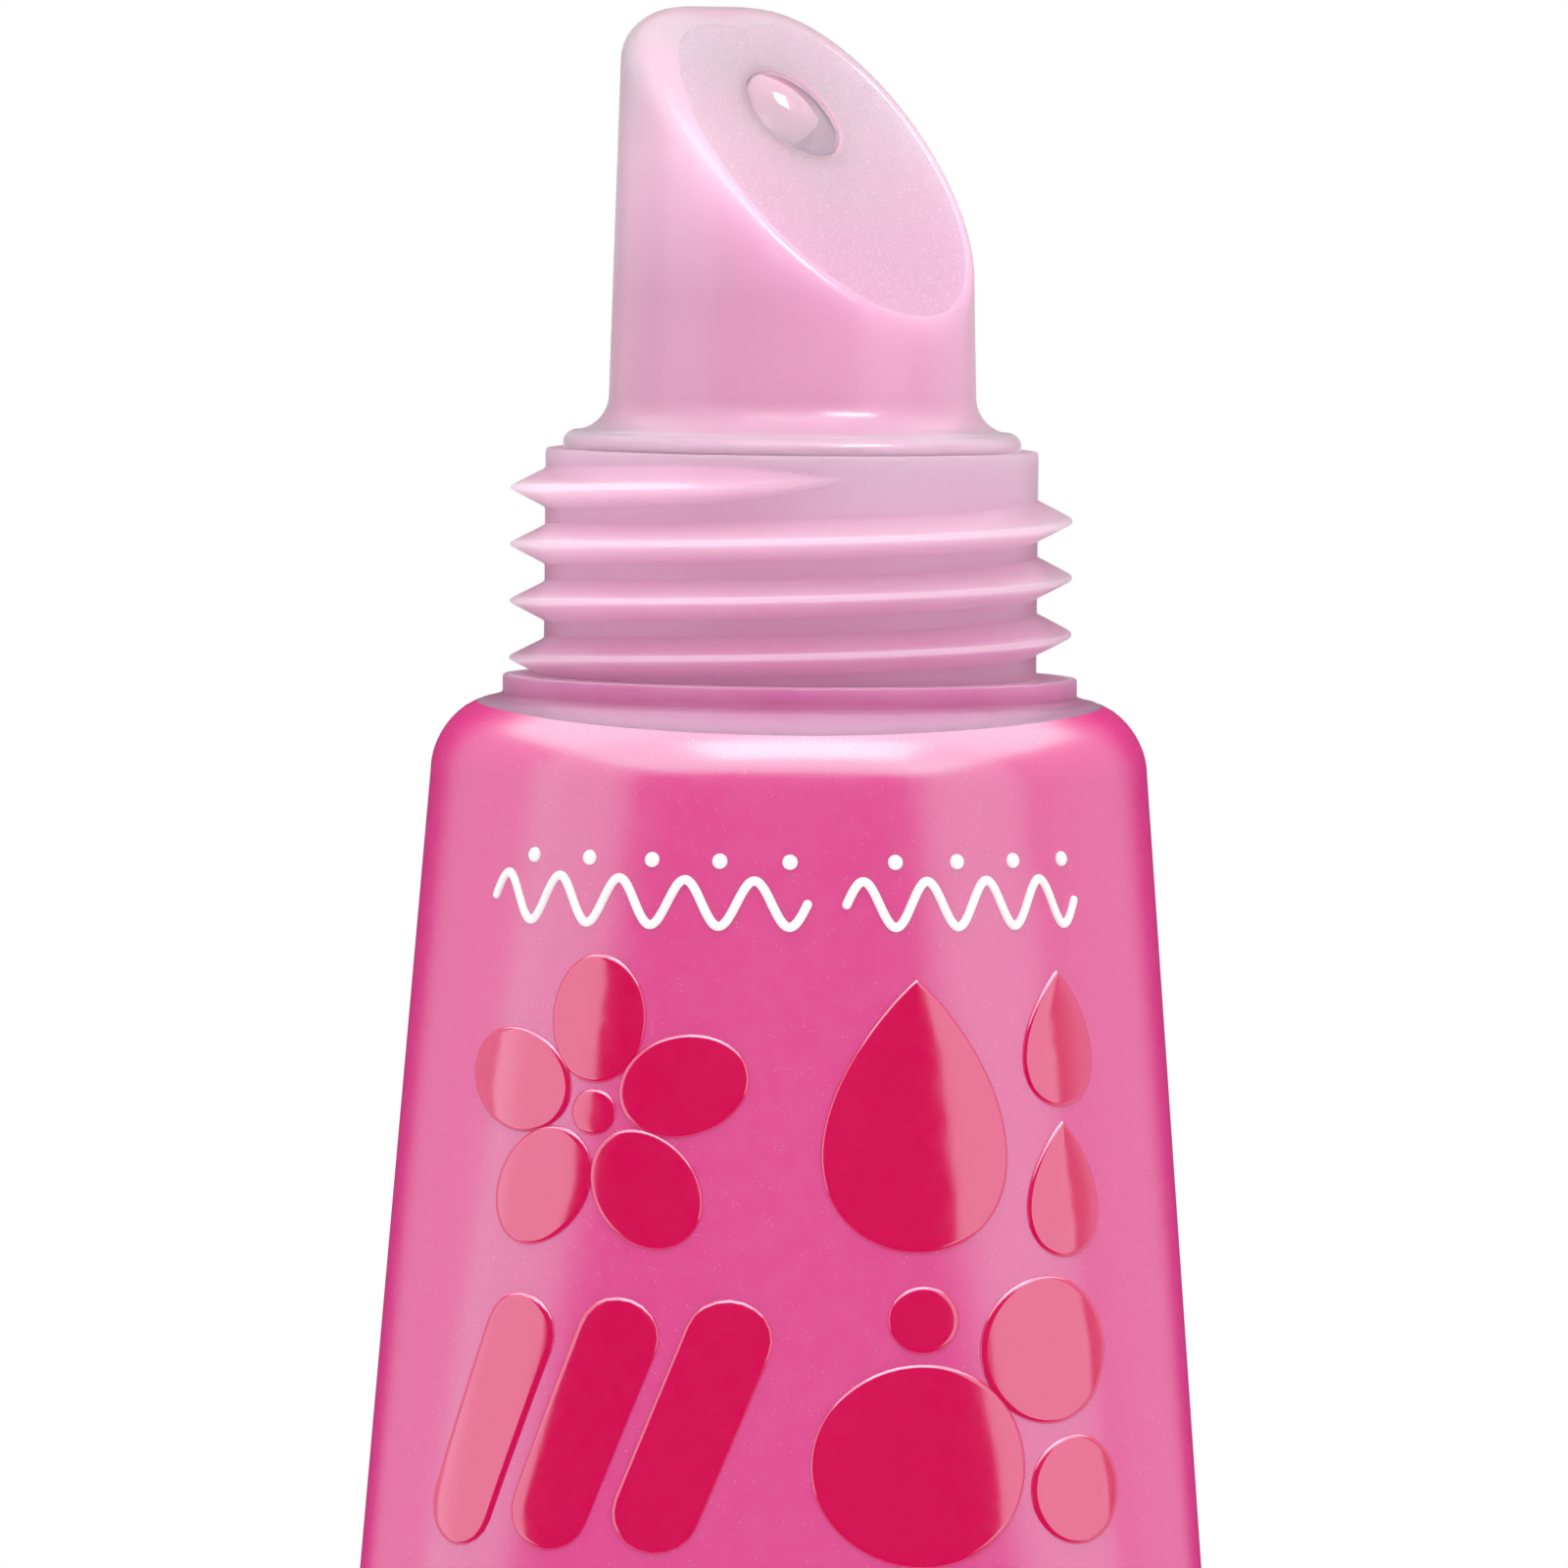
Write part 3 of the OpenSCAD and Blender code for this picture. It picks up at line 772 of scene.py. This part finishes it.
class Print:
    """Raised ink on the sleeve's front. Outlines are in (s, z): round the front, and along the tube."""

    def __init__(self, rise, bevel):
        self.shape, self.rise, self.bevel = Shape(), rise, bevel

    def profile(self, half_width):
        """Distances in from the edge and heights across a stroke, from under its edge to its middle."""
        cut = min(self.bevel, half_width * 0.9)
        arc_steps = [(cut * (1 - math.cos(t)), self.rise * math.sin(t))
                     for t in np.linspace(0.15, math.pi / 2, 6)]
        return [(0, -0.03)] + arc_steps + [(mix(cut, half_width, u), self.rise) for u in (0.35, 0.7, 1)]

    def loops(self, middle, reach):
        """A closed raised form: its edge is at middle + reach, and it shrinks to middle."""
        widest = np.linalg.norm(reach, axis=1).max()
        rings = [on_sleeve(middle[:, 0], middle[:, 1], -0.03 + 0 * middle[:, 0])]
        for inward, height in self.profile(widest):
            at = middle + reach * (1 - inward / widest)
            rings.append(on_sleeve(at[:, 0], at[:, 1], height + 0 * at[:, 0]))
        self.shape.rings(rings)

    def stroke(self, path, half_width):
        """A stroke with round ends along an open path."""
        path = np.asarray(path, float)
        along = np.gradient(path, axis=0)
        along /= np.linalg.norm(along, axis=1, keepdims=True)
        side = np.stack([-along[:, 1], along[:, 0]], 1)

        def cap(direction, sideways):
            half = np.linspace(0, math.pi, 11)[1:-1]
            return np.outer(np.cos(half), sideways) + np.outer(np.sin(half), direction)

        reach = np.concatenate([side, cap(along[-1], side[-1]), -side[::-1], cap(-along[0], -side[0])])
        middle = np.concatenate([path, np.repeat(path[-1:], 9, 0), path[::-1], np.repeat(path[:1], 9, 0)])
        self.loops(middle, reach * half_width)

    def blob(self, outline):
        """A filled form inside an outline."""
        outline = np.asarray(outline, float)
        middle = np.repeat(outline.mean(0)[None], len(outline), 0)
        self.loops(middle, outline - middle)

    def piece(self, name, slot, material):
        return add_piece(name, self.shape.mesh(), "tube", [material], crease=50)


def drop_outline(s, z, width, height):
    """A drop with its point towards the tip."""
    t = turns_of(72)
    x = width / 2 * np.sin(t) * np.sin(t / 2) ** 0.8 * 1.12
    return np.stack([s + x, z - height / 2 * np.cos(t - math.pi)], 1)


def oval_outline(s, z, along, across, turn=0.0, count=56):
    t = turns_of(count)
    x, y = along * np.cos(t), across * np.sin(t)
    c, d = math.cos(turn), math.sin(turn)
    return np.stack([s + x * c - y * d, z + x * d + y * c], 1)


def wave_path(s, z, length, swing, waves, count):
    u = np.linspace(0, 1, count)
    return np.stack([s + (u - 0.5) * length, z + swing * np.sin(u * 2 * math.pi * waves)], 1)


def pill_path(s, z, length, tilt):
    u = np.linspace(-0.5, 0.5, 16) * length
    return np.stack([s + u * math.cos(tilt), z + u * math.sin(tilt)], 1)


def make_print():
    """Two columns of motifs, and a row of white waves and dots across the sleeve near its edge."""
    bold = Print(0.09, 0.16)
    column, row, first_row = 4.9, 8.2, -10.4

    def flower(s, z):
        petals, reach = 5, 2.45
        for k in range(petals):
            turn = 2 * math.pi * (k + 0.25) / petals
            at = (s + reach * math.cos(turn), z + reach * math.sin(turn))
            bold.blob(oval_outline(*at, 1.7, 1.33, turn))
        bold.blob(oval_outline(s, z, 0.62, 0.62))

    def drops(s, z):
        for across, up, width, height in ((-1.6, 0, 5.4, 7.2), (2.6, 1.95, 2.7, 3.6), (2.6, -2.0, 2.7, 3.6)):
            bold.blob(drop_outline(s + across, z + up, width, height))

    def bubbles(s, z):
        for across, up, r in ((-1.55, -1.0, 2.7), (2.75, -1.7, 1.45), (1.9, 2.0, 1.95), (-1.5, 2.85, 0.9)):
            bold.blob(oval_outline(s + across, z + up, r, r))

    def pills(s, z):
        for k in (-1, 0, 1):
            bold.stroke(pill_path(s + k * 2.75, z, 4.9, math.radians(70)), 1.08)

    motifs = [flower, pills, drops, bubbles]
    for k in range(7):
        z = first_row - k * row
        motifs[k % 4](-column, z)
        motifs[(k + 2) % 4](column, z)

    fine = Print(0.1, 0.11)
    wave_length, wave_z, dot_z, dot_r = 1.7, -4.85, -3.75, 0.2
    for start, end in ((-8.5, 0.5), (1.5, 8.3)):
        count = round((end - start) / wave_length)
        fine.stroke(wave_path((start + end) / 2, wave_z, end - start, 0.6, count, 60 * count), 0.12)
        for k in range(count):
            middle = start + (end - start) * (k + 0.75) / count
            fine.blob(oval_outline(middle, dot_z, dot_r, dot_r, count=24))
    return [bold.piece("print_bold", "cap_gloss", print_material()),
            fine.piece("print_fine", "liner_foam", white_ink_material())]


# ---------- the cap ----------


def make_cap():
    end_r = CAP_R - 0.3
    outline = rounded([(CAP_BORE_R, CAP_GAP, 0.12), (CAP_R, CAP_GAP, 0.2), (CAP_R - 0.02, CAP_GAP + 1.2, 0),
                       (end_r, CAP_END, 1.3), (end_r - 2.4, CAP_END, 0.1), (end_r - 2.6, CAP_END - 0.2, 0.1),
                       (0.9, CAP_END - 0.2, 0), (0.7, CAP_END - 0.1, 0.05), (0.5, CAP_END - 0.2, 0.05),
                       (0, CAP_END - 0.2, 0), (0, CAP_END - 1.4, 0), (CAP_BORE_R, CAP_END - 1.4, 0.8)], 8)
    return add_piece("cap_outer", Shape().lathe(outline).mesh(), "cap", [cap_material()],
                     ["cap_shell"], CAP_EDGE_Z)


def make_cap_core():
    tube_r = TIP_BORE_R + 1
    top_z, bottom_z = CORE_Z + 0.2, CORE_STEP - 0.02
    outline = rounded([(CORE_BORE_R, top_z, 0), (CORE_BORE_R + 0.2, CORE_Z, 0.08), (CORE_R, CORE_Z, 0.06),
                       (CORE_R, CORE_STEP, 0.1), (tube_r, CORE_STEP + 1.2, 0.2), (tube_r, CORE_ROOF + 1, 0.5),
                       (0, CORE_ROOF + 1, 0), (0, CORE_ROOF, 0), (TIP_BORE_R, CORE_ROOF, 0.6),
                       (TIP_BORE_R, CORE_STEP, 0.12), (CORE_BORE_R, CORE_STEP, 0)])
    bm = Shape().lathe(outline, loop=False).mesh()
    join(bm, threaded_wall(CORE_BORE_R, -CORE_CREST, THREAD_Z + PITCH, 2.5, top_z + 0.01, bottom_z,
                           phase=math.pi))
    zip_loops(bm, loop_at(bm, top_z), loop_at(bm, top_z + 0.01))
    zip_loops(bm, loop_at(bm, CORE_STEP), loop_at(bm, bottom_z))
    low = CORE_STEP + 0.9
    length = CORE_R - tube_r + 0.3
    place = Matrix.Translation((tube_r - 0.4 + length / 2, 0, (low + CORE_ROOF) / 2))
    size = Matrix.Diagonal((length, 0.8, CORE_ROOF - low, 1))
    for k in range(RIBS):
        turn = Matrix.Rotation(2 * math.pi * (k + 0.5) / RIBS, 4, "Z")
        bmesh.ops.create_cube(bm, size=1, matrix=turn @ place @ size)
    return add_piece("cap_thread", bm, "cap", [core_material()], ["cap_core"], CAP_EDGE_Z)


def make_liner():
    inner, outer = FLANGE_R + 0.1, CORE_BORE_R - 0.15
    outline = rounded([(inner, LINER_Z, 0.12), (outer, LINER_Z, 0.12), (outer, LINER_Z + LINER_H, 0.1),
                       (inner, LINER_Z + LINER_H, 0.1)])
    # The neck's land has pressed a shallow ring into the foam
    outline[3:3] = [np.array([mix(inner, outer, u), LINER_Z + press])
                    for u, press in ((0.2, 0.0), (0.3, 0.05), (0.5, 0.06), (0.7, 0.05), (0.8, 0.0))]
    return add_piece("cap_seal", Shape().lathe(outline).mesh(), "cap_carriage",
                     [liner_material()], ["cap_liner"], CAP_EDGE_Z)


# ---------- the studio ----------


def make_camera():
    """Level with the tip, turned over so that the tip is at the top of the picture."""
    forward = Vector((0, math.cos(CAMERA_TILT), math.sin(CAMERA_TILT)))
    right = forward.cross(Vector((math.sin(CAMERA_ROLL), 0, -math.cos(CAMERA_ROLL)))).normalized()
    up = right.cross(forward)
    data = bpy.data.cameras.new("camera")
    data.lens, data.sensor_width = LENS, SENSOR
    data.clip_start, data.clip_end = 0.01, 50
    camera = bpy.data.objects.new("camera", data)
    bpy.context.scene.collection.objects.link(camera)
    turn = Matrix((right, up, -forward)).transposed().to_4x4()
    place = Vector((CAMERA_SIDE, -CAMERA_AWAY, EDGE_Z - CAMERA_DROP))
    camera.matrix_world = Matrix.Translation(place * MM) @ turn
    bpy.context.scene.camera = camera


def add_light(name, place, size, radiance, shading, lit=None, glossy=True, diffuse=True):
    """A soft box aimed at the neck, which the camera doesn't see.

    Sizes and places are in millimetres, in the row frame. Shading holds the pieces that cast no shade,
    and lit the pieces that the light reaches or leaves out.
    """
    data = bpy.data.lights.new(name, "AREA")
    data.shape = "RECTANGLE"
    data.size, data.size_y = size[0] * MM, size[1] * MM
    data.energy = radiance * math.pi * data.size * data.size_y
    light = bpy.data.objects.new(name, data)
    bpy.context.scene.collection.objects.link(light)
    light.location = Vector(place) * MM
    light.rotation_euler = (Vector((0, 0, EDGE_Z)) - Vector(place)).to_track_quat("-Z", "Y").to_euler()
    light.visible_camera = False
    light.visible_glossy = glossy
    light.visible_diffuse = diffuse
    light.light_linking.blocker_collection = shading
    light.light_linking.receiver_collection = lit


def linked(name, pieces, state):
    """A collection that a light takes pieces in by, or leaves them out."""
    collection = bpy.data.collections.new(name)
    for piece in pieces:
        collection.objects.link(piece)
    for item in collection.collection_objects:
        item.light_linking.link_state = state
    return collection


def make_world():
    """White behind the tube and through it, and an even light on it.

    In its gloss the world is dark in front of the tube and straight behind it, and lit in between.
    """
    world = bpy.data.worlds.new("studio")
    bpy.context.scene.world = world
    world.use_nodes = True
    nodes, links = world.node_tree.nodes, world.node_tree.links
    where = nodes.new("ShaderNodeTexCoord")
    axes = nodes.new("ShaderNodeSeparateXYZ")
    links.new(where.outputs["Generated"], axes.inputs[0])
    back = nodes.new("ShaderNodeMapRange")
    back.inputs["From Min"].default_value = -0.25
    links.new(axes.outputs["Y"], back.inputs["Value"])
    level = nodes.new("ShaderNodeValToRGB")
    marks = level.color_ramp.elements
    while len(marks) < 4:
        marks.new(0.5)
    for mark, (place, value) in zip(marks, ((0.0, 0.0), (0.24, 0.42), (0.74, 0.5), (0.87, 0.0))):
        mark.position = place
        mark.color = (value, value, value, 1)
    links.new(back.outputs["Result"], level.inputs["Fac"])

    def either(ray, first, second):
        """The second level for one kind of ray, and the first for the others."""
        node = nodes.new("ShaderNodeMix")
        links.new(ray, node.inputs[0])
        for socket, value in ((node.inputs[2], first), (node.inputs[3], second)):
            if isinstance(value, float):
                socket.default_value = value
            else:
                links.new(value, socket)
        return node.outputs[0]

    rays = nodes.new("ShaderNodeLightPath").outputs
    strength = either(rays["Is Glossy Ray"], 0.8, level.outputs["Color"])
    strength = either(rays["Is Transmission Ray"], strength, 1.0)
    strength = either(rays["Is Camera Ray"], strength, 1.0)
    links.new(strength, nodes["Background"].inputs["Strength"])
    nodes["Background"].inputs["Color"].default_value = (1, 1, 1, 1)


def make_studio(head, tip, bead, cap_pieces):
    """The lights, the world and the floor. The cap's pieces cast no shade, as lights are under them."""
    unshaded = linked("cap_casts_no_shade", cap_pieces, "EXCLUDE")
    for name, degrees, width in (("left_box", 70, 330), ("right_box", -61, 340)):
        turn = math.radians(degrees)
        place = (BOX_AWAY * math.sin(turn), -BOX_AWAY * math.cos(turn), EDGE_Z)
        add_light(name, place, (width, 640), 0.62, unshaded)
    # The overhead light is on the tip's side of the tube, so it comes up through the floor's plane.
    # A second one in its place adds to the shine of the pieces that aren't translucent.
    overhead, size = (0, -80, EDGE_Z - BOX_AWAY), (1500, 1500)
    solid = linked("not_translucent", [head, tip], "EXCLUDE")
    add_light("overhead", overhead, size, 0.65, unshaded)
    add_light("overhead_shine", overhead, size, 0.75, unshaded, solid, diffuse=False)
    add_light("key_box", (-30, -230, EDGE_Z - 400), (480, 240), 1.5, unshaded)
    for name, piece, place, size, radiance in (
            ("neck_fill", head, (350, -300, 850), (500, 500), 6.5),
            ("rim_box", tip, (-229, -250, EDGE_Z - 298), (220, 60), 13.0),
            ("glint", bead, (-225, 157, EDGE_Z - 370), (80, 60), 14.0)):
        add_light(name, place, size, radiance, unshaded, linked(name + "_on", [piece], "INCLUDE"))
    add_light("front_fill", (0, -900, EDGE_Z), (700, 500), 0.6, unshaded, glossy=False)
    add_light("floor_box", (0, -100, 1300), (500, 500), 8.0, unshaded, glossy=False)

    make_world()

    floor = bpy.data.objects.new("floor", bpy.data.meshes.new("floor"))
    bm = bmesh.new()
    bmesh.ops.create_circle(bm, cap_ends=True, segments=96, radius=3.0)
    bm.to_mesh(floor.data)
    bm.free()
    floor.location.z = -0.00002
    m = Material("floor")
    m.colour(m.blend(m.noise(400, 2.0), (0.86, 0.86, 0.86, 1), (0.9, 0.9, 0.9, 1)))
    m.roughness(0.8)
    floor.data.materials.append(m.material)
    bpy.context.scene.collection.objects.link(floor)
    floor.visible_shadow = False
    floor.visible_glossy = False
    floor.visible_diffuse = False
    floor.visible_transmission = False
    bpy.context.scene.view_settings.view_transform = "Standard"


make_camera()
make_sleeve()
make_gloss_fill()
make_print()
make_studio(make_head(), make_tip(), make_tip_gloss(), [make_cap(), make_cap_core(), make_liner()])
